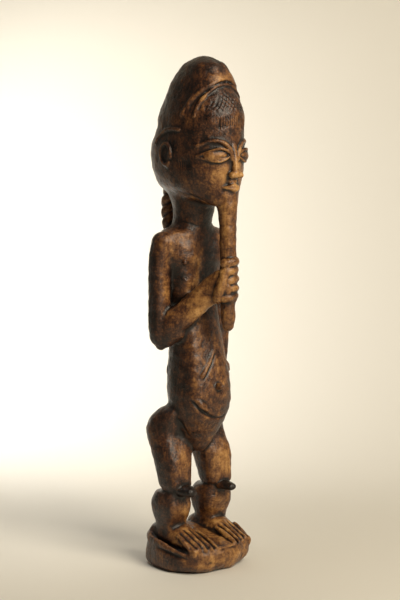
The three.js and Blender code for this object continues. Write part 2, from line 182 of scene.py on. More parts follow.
for side in (-1, 1):
    x = side * LEG_X
    shin = keel(-90 + side * 38, 1.7, 0.34)
    blank.append(level_form([
        (33, x, 10.4, 11.9, 12.6, 2.4), (40, x, 10.4, 12.6, 13, 2.4), (47, x, 10.2, 14.9, 15.6, 2.4),
        (55, x, 9.9, 16.5, 17.2, 2.35), (62, x, 9.6, 15.8, 16.4, 2.3), (69, x, 7.8, 13, 13.8, 2.2)],
        relief=shin))
    blank.append(level_form([
        (67, x, 2.5, 9.6, 9.6, 2.4), (72, x, 3.5, 12.8, 12.5, 2.4), (80, x, 5.2, 14.1, 13.8, 2.4),
        (97, x * 0.98, 8.6, 16.4, 15.7, 2.35), (109, x * 0.89, 14.2, 18.4, 17, 2.25),
        (118, x * 0.86, 18.4, 19.2, 17.2, 2.2), (128, x * 0.85, 17.6, 18.4, 16.8, 2.15),
        (137, x * 0.8, 13.5, 16, 14.5, 2.1), (146, x * 0.7, 10, 11, 11, 2.1)],
        bottom=4, top=7, relief=shin))


# The trunk is one long column that leans back at the chest and swells forward at the belly.
# Its sides were planed flat, so light falls off quickly where the front turns into the side.
TRUNK = [(101, 0, 1, 5, 6, 2), (108, 0, 0.4, 10.4, 10, 2), (118, 0, -0.8, 16.8, 14.2, 2.1),
         (130, 0, -2.2, 22.4, 20, 2.3), (143, 0, -1.5, 26, 24.6, 2.4), (160, 0, -0.5, 27, 26.2, 2.4),
         (179, 0, 0.8, 25.4, 23.9, 2.5), (199, 0, 2.5, 24, 20.7, 2.5), (221, 0, 7, 23.4, 19.6, 2.5),
         (236, 0, 9, 23.8, 18.4, 2.5), (264, 0, 9.5, 28.4, 18.4, 2.5), (276, 0, 9.3, 32.6, 18.6, 2.45),
         (291, 0, 9, 36.3, 17.7, 2.35), (305, 0, 8.5, 31, 15.5, 2.2)]


def trunk_relief(x, y, z, u):
    """Behind, a furrow down the spine and two low plates over the ribs, each a bell curve across
    times a bell curve up. In front, a soft corner down each flank, sharper on his right,
    where front and side planes meet, and two breast pads that are cut off short below."""
    back, front = np.clip(np.sin(u), 0, 1) ** 2, np.clip(-np.sin(u), 0, 1)
    spine = 2.2 * np.exp(-(x / 4.5) ** 2) * np.exp(-((z - 205) / 62) ** 2)
    blades = 1.5 * np.exp(-((np.abs(x) - 15) / 8) ** 2) * np.exp(-((z - 262) / 17) ** 2)
    seat = 2.6 * np.exp(-(x / 5) ** 2) * np.exp(-((z - 132) / 12) ** 2)
    corner = keel(-134, 1.8, 0.3)(x, y, z, u) + keel(-46, 0.5, 0.3)(x, y, z, u)
    corner = corner * np.clip((z - 122) / 20, 0, 1) * np.clip((272 - z) / 16, 0, 1)
    pads = 3.6 * np.exp(-((np.abs(x) - 18) / 10) ** 2) * np.exp(-((z - 279) / 12) ** 2)
    pads = pads * np.clip((z - 268) / 4, 0, 1)
    return back * (blades - spine - seat) + corner + front * pads


blank.append(level_form(TRUNK, top=8, relief=trunk_relief, sides=160))


# The arms are carved free at the elbow only. The right one bends up to the beard; the left one
# hangs along the flank, and its flat hand turns in over the hip.
upper_arm = [(31.5, 9, 289, 10.4), (34.4, 10.5, 277, 9.5), (35.4, 11, 256, 8.9), (35.6, 11, 232, 9)]
blank.append(limb([(-x, y, z, r) for x, y, z, r in upper_arm]
                  + [(-35.5, 11, 219, 9.2), (-35.2, 11, 209, 8.8), (-34.6, 11, 202, 7.2),
                     (-34.2, 11, 198.8, 4.6)], up=(0, 1, 0), power=2.7))
blank.append(limb([(-33.4, 8.4, 209, 8.5, 10), (-28, -0.5, 220, 9.6, 11.6), (-20, -12, 232, 9, 10.8),
                   (-13.4, -23, 243, 7.8, 10.8), (-10.2, -31, 250, 6, 12), (-8, -38.6, 254.6, 4.8, 12.8),
                   (-6.4, -43.4, 256.6, 3.6, 11.8)], power=2.5))
blank.append(limb([(-34.2, 10.6, 199.4, 4.8), (-31.6, 4.5, 204.2, 6.2), (-27, -3, 211.5, 6.8)],
                  up=(0, 1, 0)))
blank.append(limb(upper_arm + [(35.6, 11, 210, 9.4), (33.6, 8, 194, 7.6), (30, 4, 181, 5.8)],
                  up=(0, 1, 0), power=2.5))


# The neck is a plain round column. Under the jaw it spreads into the skull, and at its foot a
# low collar runs out over the shoulders.
blank.append(level_form([
    (290, 0, 8, 22.8, 17.8, 2), (303, 0, 7.6, 18.6, 17.6, 2), (308, 0, 7, 17.1, 18.2, 2),
    (320, 0, 5.6, 18, 19.8, 2), (338, 0, 10, 21.4, 24.6, 2)]))


# The head is a long egg, drawn forward to the chin and back over the nape.
# Everything on it, hair, ears and face, is cut into this one form.
HEAD = [(321, 0, -33, 9, 10, 2), (325, 0, -26, 14.5, 19.5, 2), (331, 0, -11, 21.4, 34.4, 2),
        (337, 0, -3, 26.2, 41.4, 2.1), (343, 0, -1.2, 29.2, 43, 2.15), (352, 0, 0.3, 31.6, 46, 2.15),
        (369, 0, 1, 33, 47.5, 2.15), (380, 0, -0.4, 32.4, 46, 2.1), (387, 0, -2.8, 31.6, 44.2, 2.1),
        (400, 0, -4.6, 29.8, 45, 2.1), (411, 0, -5.6, 26.8, 42.6, 2), (421, 0, -6, 22.8, 37.4, 2),
        (431, 0, -7, 18.4, 31.6, 2), (438, 0, -7.4, 13, 24, 2)]


def forehead_slope(x, y, z, u):
    """The front of the head leans back above the brow. The lean in mm grows with height, and a
    bell curve of the angle keeps it to the front."""
    lean = np.interp(z, [380, 392, 402, 412, 424, 450], [0, 0.8, 2.4, 4.6, 7, 7])
    return -lean * np.exp(-(((u + math.pi / 2 + math.pi) % (2 * math.pi) - math.pi) / 0.72) ** 2)


blank.append(level_form(HEAD, bottom=3, top=4, sides=160, relief=forehead_slope))


# At this point the block is roughed out. A knife can't leave a hard inner corner where two big
# forms meet, and years of handling fill it further, so those corners are rounded out here.
ROUGH_GRAIN, FINE_GRAIN = 1.0, 0.7


def one_skin(forms, grain):
    """Every form joined into a single closed skin. The forms go into one mesh, and a voxel remesh of side
    `grain` keeps only what faces outwards. Returns that mesh."""
    starts = np.cumsum([0] + [len(points) for points, _ in forms])
    mesh = to_mesh("male_figure_forms", np.concatenate([points for points, _ in forms]),
                   np.concatenate([faces + start for (_, faces), start in zip(forms, starts)]))
    return evaluated(mesh, "REMESH", mode="VOXEL", voxel_size=grain * MM, adaptivity=0)


def to_mesh(name, points, faces):
    """A mesh from an array of points in mm and an array of faces that all have as many corners."""
    mesh = bpy.data.meshes.new(name)
    mesh.vertices.add(len(points))
    mesh.vertices.foreach_set("co", (points * MM).ravel())
    mesh.loops.add(faces.size)
    mesh.loops.foreach_set("vertex_index", faces.ravel().astype(np.int32))
    mesh.polygons.add(len(faces))
    mesh.polygons.foreach_set("loop_start", np.arange(0, faces.size, faces.shape[1], dtype=np.int32))
    mesh.update(calc_edges=True)
    return mesh


def evaluated(mesh, kind, **settings):
    """The mesh that one modifier makes of another mesh."""
    carrier = bpy.data.objects.new("carrier", mesh)
    bpy.context.scene.collection.objects.link(carrier)
    modifier = carrier.modifiers.new(kind.lower(), kind)
    for key, value in settings.items():
        setattr(modifier, key, value)
    result = bpy.data.meshes.new_from_object(carrier.evaluated_get(bpy.context.evaluated_depsgraph_get()))
    bpy.data.objects.remove(carrier)
    bpy.data.meshes.remove(mesh)
    return result


def arrays(mesh):
    """A mesh's points in mm, its edges and its triangles, as whole arrays."""
    mesh.calc_loop_triangles()
    points = np.empty(len(mesh.vertices) * 3)
    edges = np.empty(len(mesh.edges) * 2, np.int32)
    triangles = np.empty(len(mesh.loop_triangles) * 3, np.int32)
    mesh.vertices.foreach_get("co", points)
    mesh.edges.foreach_get("vertices", edges)
    mesh.loop_triangles.foreach_get("vertices", triangles)
    return points.reshape(-1, 3) / MM, edges.reshape(-1, 2), triangles.reshape(-1, 3)


def gathered(index, values, count):
    """For each point, the sum of the values that name it."""
    return np.stack([np.bincount(index, weights=column, minlength=count) for column in values.T], -1)


def facing(points, triangles):
    """Unit normals: the sum of the cross products of the triangles round each point."""
    a, b, c = (points[triangles[:, i]] for i in range(3))
    cross = np.cross(b - a, c - a)
    total = gathered(triangles.T.ravel(), np.tile(cross, (3, 1)), len(points))
    return total / np.maximum(np.linalg.norm(total, axis=1, keepdims=True), 1e-12)


def relaxed(points, edges, rounds, weigh):
    """Each round moves every point part of the way to the mean of its neighbours. weigh(points,
    pull) gives that part, where pull is the way to the mean."""
    ends = np.concatenate([edges[:, 0], edges[:, 1]])
    others = np.concatenate([edges[:, 1], edges[:, 0]])
    share = 1 / np.bincount(ends, minlength=len(points))[:, None]
    for _ in range(rounds):
        pull = gathered(ends, points[others], len(points)) * share - points
        points = points + weigh(points, pull) * pull
    return points


def hollows_filled(points, edges, triangles, rounds, softness, ridges=0.06):
    """Rounds inner corners and leaves outer ones. A point in a hollow, where its neighbours' mean
    lies outside the skin, moves there by `softness`; elsewhere it moves by `ridges`."""
    outward = facing(points, triangles)
    return relaxed(points, edges, rounds, lambda now, pull: np.where(
        (pull * outward).sum(1) > 0, softness, ridges)[:, None])


rough, rough_edges, rough_faces = arrays(one_skin(blank, ROUGH_GRAIN))
height = rough[:, 2]
softness = np.interp(height, [0, 26, 44, 66, 78, 100, 125, 150, 200, 296, 306, 325, 345],
                     [0.06, 0.08, 0.12, 0.2, 0.2, 0.45, 0.25, 0.3, 0.22, 0.35, 0.6, 0.6, 0.4])
rough = hollows_filled(rough, rough_edges, rough_faces, 50, softness)
figure = [(rough, rough_faces)]


# Toes, knee caps and the small marks on the body come after the big forms. Each toe is a long
# ridge with a rounded tip, and each knee cap a flat dark beak with a blunt end, his left one slimmer.
def boss(centre, half, turns=(0, 0, 0), sides=40):
    """An egg: centre + half sizes * (cos v cos u, cos v sin u, sin v), turned about X, then Y,
    then Z, in degrees."""
    u = np.linspace(0, 2 * math.pi, sides, endpoint=False)
    v = np.linspace(-math.pi / 2, math.pi / 2, sides // 2 + 1)[1:-1, None]
    rows = np.stack([np.cos(v) * np.cos(u), np.cos(v) * np.sin(u), np.sin(v) * np.ones_like(u)], -1)
    points, faces = closed(rows, (0, 0, -1), (0, 0, 1))
    points = points * half
    for axis, degrees in enumerate(turns):
        c, s = math.cos(math.radians(degrees)), math.sin(math.radians(degrees))
        i, j = (axis + 1) % 3, (axis + 2) % 3
        points[:, [i, j]] = np.stack([points[:, i] * c - points[:, j] * s,
                                      points[:, i] * s + points[:, j] * c], -1)
    return points + centre, faces


for side in (-1, 1):
    for across in (-11.4, -5.7, -0.1, 5.5, 11):
        x = side * FOOT_X + across
        rim = PLINTH_HALF[1] * (1 - (abs(x) / PLINTH_HALF[0]) ** 2.5) ** (1 / 2.5)
        tip, start = 3.8 - rim, -12.0
        figure.append(limb([(x, start + (tip - start) * run, high, wide, tall)
                            for run, high, wide, tall in (
                                (0, 31.4, 1.6, 1.6), (0.3, 29.4, 2, 2), (0.7, 25.2, 2.3, 2.4),
                                (1, 21.6, 2.4, 2.6))], sides=24))
    x = side * LEG_X
    reach, cap_z, full = 12.5 + side * 1.8, 69.2 - side * 0.9, 1 - 0.12 * (side + 1)
    figure.append(limb([(x, y, z, wide * full, high * full) for y, z, wide, high in (
        (0.5, cap_z + 0.6, 9, 5.6), (-8.5, cap_z + 0.3, 8.8, 5.5), (-8.5 - reach * 0.5, cap_z, 7.4, 4.8),
        (-8.5 - reach * 0.76, cap_z, 5.8, 4.2))]))


def on_trunk(degrees, z, proud=0.0):
    """The point of the trunk's skin at that angle round from the front towards his left, and that
    height, standing `proud` of it."""
    _, y, a, b, power = read_table(TRUNK, [z])[0]
    u = math.radians(degrees - 90)
    c, s = math.cos(u), math.sin(u)
    out = (abs(c) ** power + abs(s) ** power) ** (-1 / power)
    rise = proud + float(trunk_relief(a * c * out, y + b * s * out, z, u))
    return a * c * out + rise * c, y + b * s * out + rise * s, z


figure.append(limb([(*on_trunk(3, 194.5, -0.2), 1.2), (*on_trunk(-14, 184, -0.3), 2),
                    (*on_trunk(-32, 173.6, -0.6), 2.3)], sides=20))
for side in (-1, 1):
    figure.append(boss((side * 23, -8.4, 272.5), (2, 1.8, 2)))
navel_y = on_trunk(0, 163)[1]
figure.append(limb([(0, navel_y + 3, 163, 3.7, 3.4), (0, navel_y - 2.4, 163.3, 3.2, 2.9),
                    (0, navel_y - 4.2, 163.4, 2.6, 2.2)], sides=28))
figure.append(limb([(*on_trunk(-46, 152, -0.9), 1.8, 2.4), (*on_trunk(-36, 148, 0), 2.4, 3.4),
                    (*on_trunk(-24, 143, -0.8), 1.8, 2.4)], sides=28))
figure.append(boss((-18.4, 13.6, 175), (3, 5.4, 8.4), (0, 0, 40)))


# The hands. The right one grips the beard: its back lies beside the rod, and the thumb and four
# fingers go round the front in a stack. The left one lies flat over the hip.
BEARD_Y = -39.0
for z, proud in ((244, 0), (251, 0.5), (258.6, 0), (266.4, -0.5), (274.2, 0.9)):
    figure.append(limb([
        (-8.4, BEARD_Y - 3.2, z - 1.2, 3.4, 3.7), (-4.6, BEARD_Y - 6.2, z - 0.6, 3.6, 3.8),
        (-0.6, BEARD_Y - 6.2 - proud, z, 3.6, 3.8), (3.2, BEARD_Y - 4.8 - proud, z + 0.2, 3.6, 3.8),
        (7, BEARD_Y - 1.5, z + 0.4, 3.2, 3.5)], sides=28))
figure.append(limb([(-10.6, -37.5, 243, 5), (-9.2, -40.6, 253, 5.4), (-7, -43, 264, 4.4),
                    (-5.4, -44.4, 273, 2.2)], up=(0, 1, 0)))
figure.append(limb([(0, BEARD_Y - 1, 243.5, 8), (0, BEARD_Y - 1, 274, 7.6)], up=(0, 1, 0)))
palm = (28.4, 2.4, 172)
figure.append(boss(palm, (4.2, 7, 8.4), (0, 0, -8), sides=48))
figure.append(limb([(29.8, -2, 180, 2.4), (29.6, -6, 176.4, 2.4), (28.6, -8.6, 173.2, 2)], up=(0, 1, 0)))
for along, drop in ((-4.6, -9), (-1.2, -10.8), (2.4, -10.6), (5.8, -8.8)):
    figure.append(limb([(palm[0] + 1.6 - 0.3 * along, palm[1] + along, palm[2] + 2, 1.9),
                        (palm[0] + 0.6 - 0.3 * along, palm[1] + along * 1.1, palm[2] + drop, 1.7)],
                       up=(0, 1, 0), sides=20))


# The beard is a long smooth rod that runs down from the chin through the fist, rubbed round by
# handling and cut off bluntly below.
figure.append(limb([(0, -35.5, 332, 11.4), (0, -37.8, 323, 9.2), (0, -38.6, 312, 8), (0, -39, 300, 7.5),
                    (0, -39, 288, 7.2), (0, -39, 258, 6.8), (0, -39, 236, 6.6), (0, -39, 224, 6.3),
                    (0, -39, 218.5, 5)],
                   up=(0, 1, 0), sides=60))


# The bonnet of hair sits on the skull like a tall cap, its hem standing proud of the skin. Over
# the forehead it opens in a round arch. A raised rim follows that opening, and a ridge inside it.
BONNET = [(388, 0, -6.5, 31.8, 40.6, 2.1), (392, 0, -7, 32, 41, 2.1), (400, 0, -6.4, 30.9, 41, 2.05),
          (413, 0, -6, 27.6, 39.6, 2), (421, 0, -7, 24.8, 38.6, 2), (430, 0, -8.2, 21.6, 35, 2),
          (438, 0, -8.8, 17.4, 29.6, 2), (445, 0, -9, 13.6, 24.6, 2), (451, 0, -9, 9, 17.6, 2)]
ARCH_HALF, ARCH_FOOT, ARCH_TOP = 31.0, 388.0, 430.0


def arch_opening(x, y, z, u):
    """Relief that lets the bonnet sink into the skull inside the arch. It is 0 outside an ellipse
    of x and height, and falls 5 mm within 1.5 mm of its line on the forward half. Towards the
    temple the hem thins out into the skin."""
    inside = 1 - np.hypot(x / ARCH_HALF, (z - ARCH_FOOT) / (ARCH_TOP - ARCH_FOOT))
    front = np.clip((-y - 9) / 3, 0, 1)
    hem = 2.4 * np.clip((-y - 4) / 14, 0, 1) * np.clip(1 - (z - ARCH_FOOT) / 16, 0, 1)
    return forehead_slope(x, y, z, u) - 5.0 * np.clip(inside * 20, 0, 1) * front - hem


figure.append(level_form(BONNET, top=9, relief=arch_opening, sides=420, step=0.5))


def on_head(x, z, proud=0.0):
    """The forward point of the skull at that x and height, `proud` of it."""
    _, y, a, b, power = read_table(HEAD, [z])[0]
    across = min(0.995, abs(x) / a)
    lean = -float(forehead_slope(x, y, z, -math.pi / 2 + math.asin(across)))
    return (x, y - b * (1 - across**power) ** (1 / power) + lean - proud, z)


def arch_line(half, top, proud, radius):
    """Stations along an arch on the skull: x is half * sin, height rises by its cosine."""
    turn = np.radians(np.linspace(-74, 74, 13))
    return [(*on_head(half * math.sin(t), ARCH_FOOT + (top - ARCH_FOOT) * math.cos(t), proud), radius)
            for t in turn]


figure.append(limb(arch_line(30.8, 429.8, 1.3, 1.8), up=(0, 1, 0.3), sides=24))
figure.append(limb(arch_line(28.4, 425.6, 0.3, 1.3), up=(0, 1, 0.3), sides=20))


# The ears are small. Each is an oval rim round a hollow, closed below by a short lobe, under a
# raised line that follows the edge of the hair round to the nape.
def on_side(side, y, z, proud=0.0):
    """The point of the skull's flank at that y and height, `proud` of it."""
    _, centre, a, b, power = read_table(HEAD, [z])[0]
    along = min(0.99, abs(y - centre) / b)
    return (side * (a * (1 - along**power) ** (1 / power) + proud), y, z)


for side in (-1, 1):
    turn = np.radians(np.linspace(-128, 196, 15))
    figure.append(limb([(*on_side(side, 5.4 + 7.2 * math.cos(t), 366.4 + 9.4 * math.sin(t), 0.9),
                         1.2 + 0.3 * math.sin(t)) for t in turn], up=(1, 0, 0), sides=24))
    figure.append(boss(on_side(side, 3.6, 357.4, 0.1), (1.5, 2.6, 2.2)))
    figure.append(limb([(*on_side(side, 0.8, 368, 0), 0.9), (*on_side(side, 1.2, 364, 0.3), 1.2),
                        (*on_side(side, 2.4, 360.6, 0.1), 1.0)], up=(1, 0, 0), sides=20))
    band = ((-11, 387, 1.2), (-2, 388, 1.5), (8, 386.6, 1.6), (16, 382, 1.5), (22, 376, 1.3))
    figure.append(limb([(*on_side(side, y, z, 0.4), r) for y, z, r in band], up=(1, 0, 0), sides=20))


# The face is a calm mask of the maker's own, laid out by thirds: hair to brow, brow to the foot
# of the nose, and nose to chin. Long lids close over full eyes, and the brows run into the nose.
EYE_Z, MOUTH_Z = 365.0, 338.0
for side in (-1, 1):
    eye = on_head(side * 15.5, EYE_Z)
    figure.append(boss((eye[0], eye[1] + 2.6, eye[2]), (10.4, 5.6, 5.8), (0, 0, side * 33), sides=60))

    def lid(rise, radius, proud):
        """A curved lid: x runs across the eye, and height bows by the cosine of that run."""
        return [(*on_head(side * (15.5 + 11.6 * t), EYE_Z + rise * math.cos(t * math.pi / 2) - 0.8 * t,
                          proud * math.cos(t * math.pi / 2) + 0.2), radius * (1 - 0.35 * abs(t)))
                for t in np.linspace(-1, 1, 9)]

    figure.append(limb(lid(5.9, 1.35, 2.6), up=(0, 1, 0), sides=20))
    figure.append(limb(lid(-5.3, 0.9, 2.0), up=(0, 1, 0), sides=20))
    figure.append(limb([(*on_head(side * 3.2, 362, 1.2), 1.5), (*on_head(side * 5.2, 370, 1.1), 1.7),
                        (*on_head(side * 11, 376, 0.4), 1.7), (*on_head(side * 19, 377.6, 0.2), 1.6),
                        (*on_head(side * 27, 373, 0.2), 1.2)], up=(0, 1, 0), sides=24))
    figure.append(boss((side * 4.4, -48.6, 348.4), (2.9, 3.6, 2.8), (0, 0, side * 20)))
figure.append(limb([(*on_head(0, 374, -1.6), 3.4, 2.4), (*on_head(0, 366, -0.4), 2.9, 2.8),
                    (*on_head(0, 356, 1.6), 3, 3.2), (*on_head(0, 349.4, 2.4), 3.6, 3.6)],
                   up=(0, 1, 0), sides=36))
figure.append(boss((0, -43, 343), (5.5, 3.6, 6)))
for rise, high in ((1.4, 1.9), (-1.9, 2.3)):
    figure.append(limb([(*on_head(x, MOUTH_Z + rise * (1 - abs(x) / 10), 0.5 + 1.9 * math.cos(x / 6.2)),
                         high * (1 - abs(x) / 13), 2.4 - abs(x) / 6) for x in np.linspace(-9.2, 9.2, 9)],
                       up=(0, 1, 0), sides=28))
figure.append(boss((0, -38, 330), (11, 7.4, 8)))


# The braid hangs from the nape to between the shoulder blades. Two thick strands are twisted
# round each other, each a plain rope of hair.
NAPE = [(0, 35.5, 336), (0, 39, 321), (0, 38.5, 307), (0, 33.5, 290), (0, 26, 272)]
along = np.linspace(0, 1, 41)
spine = read_table([(i / 4, *p) for i, p in enumerate(NAPE)], along)
run = np.gradient(spine, axis=0)
run /= np.linalg.norm(run, axis=1, keepdims=True)
behind = np.cross(run, (1, 0, 0))
for strand in (0, math.pi):
    turn = (strand + along * 2 * math.pi * 2.9)[:, None]
    lie = spine + 2.9 * (np.cos(turn) * np.array([1, 0, 0]) + np.sin(turn) * behind)
    figure.append(limb(np.column_stack([lie, 4.5 - 1.3 * along**3, 4.5 - 1.3 * along**3]),
                       up=(1, 0.02, 0), sides=28))


# The knife work. Lines are cut with a V-point or left standing between two cuts, straight into
# the finished skin: toes, fingers, folds, hair, ear and lids.
skin, skin_edges, skin_faces = arrays(one_skin(figure, FINE_GRAIN))
skin = hollows_filled(skin, skin_edges, skin_faces, 5, 0.35)
normal = facing(skin, skin_faces)
raised = np.zeros(len(skin))


def line(points, depth, wide, fade=0.6):
    """Cuts a line: every point of the skin sinks by depth * exp(-(d / wide)^2), where d is its
    distance from a smooth path. Depth fades in and out along the path as a power of a sine.
    A depth below 0 leaves a ridge."""
    table = np.asarray(points, float)
    stations = np.column_stack([np.linspace(0, 1, len(table)), table])
    length = np.linalg.norm(np.diff(table, axis=0), axis=1).sum()
    t = np.linspace(0, 1, max(3, round(length / 0.5)))
    path = read_table(stations, t)
    reach = 2.6 * wide
    near = np.flatnonzero(((skin > path.min(0) - reach) & (skin < path.max(0) + reach)).all(1))
    gap = np.linalg.norm(skin[near, None] - path, axis=2)
    closest = gap.argmin(1)
    along_it = np.sin(np.pi * (0.04 + 0.92 * t[closest])) ** fade
    raised[near] -= depth * along_it * np.exp(-(gap.min(1) / wide) ** 2)


for side in (-1, 1):
    for across in (-8.55, -2.9, 2.7, 8.25):
        x = side * FOOT_X + across
        line([(x, -10, 34.5), (x, -18, 31.6), (x, -27, 27.6), (x, -39, 22.6)], 1.7, 1.3, 0.3)
    for z in (47.7, 59):
        line([(side * 14.4, -5.2, z), (side * 14.2, -5.4, z + 1.6)], 1.3, 1.5)
line([(-37.6, 19, 27), (-38.2, 6, 24), (-38, -7, 22.4), (-36.8, -18, 21.4), (-35.6, -26, 20.8)], 3.2, 2.2)
line([(-44.4, 3, 20.8), (-44.2, -8, 18.6), (-41.6, -18, 16.6), (-37.6, -26, 15)], 1.7, 1.6)
line([(-9, -40, 20.6), (0, -40.6, 21), (10, -40, 20.6)], 1.7, 1.7)
for x, slant in ((-33, 5), (-17, -3), (14, 4), (29, -5)):
    line([(x, -38, 5 + slant * 0.6), (x + 9, -39, 9), (x + 18, -37, 7 + slant)], 0.7, 2.4)
line([on_trunk(*at) for at in ((-54, 152), (-43, 146.5), (-32, 141.5), (-18, 137.5), (4, 134.5),
                               (28, 136))], 1.9, 1.4)
line([on_trunk(*at) for at in ((-50, 147), (-40, 141.5), (-28, 136.6), (-12, 132.5))], -0.5, 2)
for side in (-1, 1):
    line([(side * 28.5, 5.3, 141), (side * 24, -2.7, 131), (side * 16.3, -6, 117.7)], 1.0, 1.4)
    line([(side * 32, -1, 281), (side * 20.7, -7, 276.5), (side * 9, -9.6, 276)], -0.7, 2.6)
    line([(side * 20, 6, 307), (side * 16.6, 0, 307.6), (side * 12, -5, 305.5),
          (side * 5, -8.6, 303)], 0.9, 1.4)
    line([(side * 24, 4, 335.5), (side * 21.6, -13, 332), (side * 17.4, -22, 327.7),
          (side * 12, -31, 323.6)], 0.9, 1.6)
line([on_trunk(3, 190.5), on_trunk(-13, 180.4), on_trunk(-30, 170.4)], 1.0, 1.4)
line([(-6.8, -9.6, 276), (-8.2, -9.6, 264), (-8.7, -9, 252)], -0.8, 3)
for z in (247.4, 254.8, 262.4, 270.2):
    line([(-3.4, -49, z - 0.4), (-1, -49.4, z), (2, -49, z + 0.2), (7, -45, z + 0.3)], 0.9, 0.9, 0.3)
line([(-5, -45.6, 222), (-4.4, -45, 217)], 1.3, 1.2)
for side in (-1, 1):
    line([on_head(side * (15.5 + 9 * t), EYE_Z - 1.2 * math.cos(t * math.pi / 2) - 0.4,
                  2.9 * math.cos(t * math.pi / 2)) for t in np.linspace(-1, 1, 7)], 0.7, 0.9)
    line([(side * 3.4, -51.2, 346.2), (side * 4.6, -50, 346)], 1.2, 1.0)
line([on_head(x, MOUTH_Z, 2.4 - x * x / 60) for x in np.linspace(-9, 9, 7)], 1.0, 0.8)
for x in np.linspace(-14, 14, 13):
    line([on_head(x, 399 - x * x / 60), on_head(x, 390.5 - x * x / 60)], 1.0, 0.8, 0.3)
for lean in (-1, 1):
    for start in range(-24, 25, 4):
        across = [(share, np.clip(start + lean * (share - 0.5) * 11, -22, 22)) for share in (0, 0.5, 1)]
        line([on_head(x, 402 + 17 * (1 - (x / 26) ** 2) * share) for share, x in across], 0.5, 0.7)
for side in (-1, 1):
    for y in np.arange(-21, -9, 2.3):
        line([on_side(side, y, 361), on_side(side, y, 354.5)], 0.9, 0.75, 0.3)
    for y in range(-16, 34, 5):
        line([(*on_side(side, y, 392)[:2], 392), (side * 24, y * 0.86 - 4, 418),
              (side * 15, y * 0.6 - 6, 438)], 0.25, 1.2)
skin = skin + raised[:, None] * normal


# The surface as a hand tool left it: no plane is flat, and no edge quite straight.
def hand_made(points, wave, height, seed):
    """Low waves over the whole skin: the mean of a few sines in random directions, `wave` mm
    long and `height` mm high."""
    random = np.random.default_rng(seed)
    way = random.normal(size=(7, 3))
    way *= (2 * math.pi / wave / np.linalg.norm(way, axis=1))[:, None]
    return height * np.sin(points @ way.T + random.uniform(0, 2 * math.pi, 7)).mean(1)


facets = hand_made(skin, 26, 0.7, 3) + hand_made(skin, 10, 0.4, 4) + hand_made(skin, 4.5, 0.24, 5)
face_calm = np.exp(-(((skin - (0, -48, 358)) / (30, 22, 30)) ** 2).sum(1))
skin = skin + (facets * (1 - 0.7 * face_calm))[:, None] * facing(skin, skin_faces)
skin[:, 2] = np.maximum(skin[:, 2], 0)


# How deep each spot lies, which decides where dirt and oil stay, and listed spots made lighter and darker:
# where hands wore the wood, where the dark coat is thicker, and some painted shade and painted light.
# Both are kept on the mesh as attributes, so that the finish follows the carving.
def depth_map(rounds):
    """How far a spot lies below the skin smoothed over its neighbours, in mm along its normal."""
    smooth = relaxed(skin, skin_edges, rounds, lambda now, pull: 0.8)
    return ((smooth - skin) * normal).sum(1)


def wear_and_painted_light_spots(places):
    """How light or dark a spot is: the sum of bell curves round named places, each centre, half sizes and
    amount. Above 0 it is lighter, below 0 darker: some spots are wear and a thicker dark coat, some painted
    shade and painted light."""
    total = np.zeros(len(skin))
    for x, y, z, rx, ry, rz, amount in places:
        total += amount * np.exp(-(((skin - (x, y, z)) / (rx, ry, rz)) ** 2).sum(1))
    return total


normal = facing(skin, skin_faces)
hollow = np.clip(depth_map(12) * 2.2 + depth_map(60) * 0.45, -1, 1)
wear_and_painted_light_places = [
    (0, -50, 352, 26, 20, 22, 0.36), (0, -44, 396, 16, 12, 7, 0.2), (-7, -34, 431, 14, 9, 5, 0.36),
    (-22, -30, 414, 6, 8, 9, 0.32), (-29, -20, 394, 5, 6, 6, 0.28), (-6, -46, 300, 6, 8, 28, 0.3),
    (0, -6, 425, 40, 44, 34, -0.13), (-34, -4, 366, 10, 26, 26, -0.04), (34, -4, 366, 10, 26, 26, -0.06),
    # (-9, -11, 266) is a painted light strip down the front of his chest, beside the painted shadow of the
    # beard.
    (-26, 0, 287, 20, 16, 14, 0.3), (26, 0, 287, 20, 16, 14, 0.2), (-9, -11, 266, 5, 8, 20, 0.24),
    (-26, -2, 263, 8, 10, 9, -0.4), (-20, -10, 280, 10, 9, 7, -0.12), (-36, -1, 250, 5, 7, 34, 0.3),
    # (8, -10, 312) and (6, -10, 268) are painted shadow of the chin, beard and fist on his neck and chest.
    (-44, 11, 240, 5, 9, 50, -0.2), (8, -10, 312, 12, 14, 22, -0.4), (6, -10, 268, 8, 12, 26, -0.4),
    (38, 0, 250, 8, 12, 34, 0.1), (-18, -20, 236, 18, 18, 18, 0.34), (-8, -44, 258, 12, 12, 18, 0.28),
    (0, -44, 226, 12, 10, 14, 0.16), (-34, 8, 206, 8, 14, 10, -0.1), (-6, -26, 190, 18, 12, 50, 0.12),
    (-30, 10, 190, 12, 20, 80, -0.22), (30, 10, 190, 12, 20, 80, -0.2), (0, -20, 120, 20, 14, 14, -0.08),
    (-24, -10, 96, 10, 10, 26, 0.18), (26, -10, 96, 13, 12, 28, 0.42), (-34, 20, 112, 12, 14, 14, 0.14),
    (-36, 16, 92, 12, 24, 26, -0.14), (36, 16, 105, 12, 24, 34, -0.12), (-23.5, -17, 69, 11, 13, 7, -1.2),
    (24, -18, 69, 8, 11, 6, -1.2), (-20, -10, 52, 8, 8, 16, 0.3), (20, -8, 52, 12, 12, 18, 0.16),
    (-23, -8, 98, 5, 8, 24, 0.14), (-36, 12, 52, 9, 16, 18, -0.16), (0, -16, 32, 40, 22, 12, 0.32),
    (-10, -40, 10, 40, 16, 12, 0.34), (-40, 0, 10, 12, 26, 12, -0.04)]
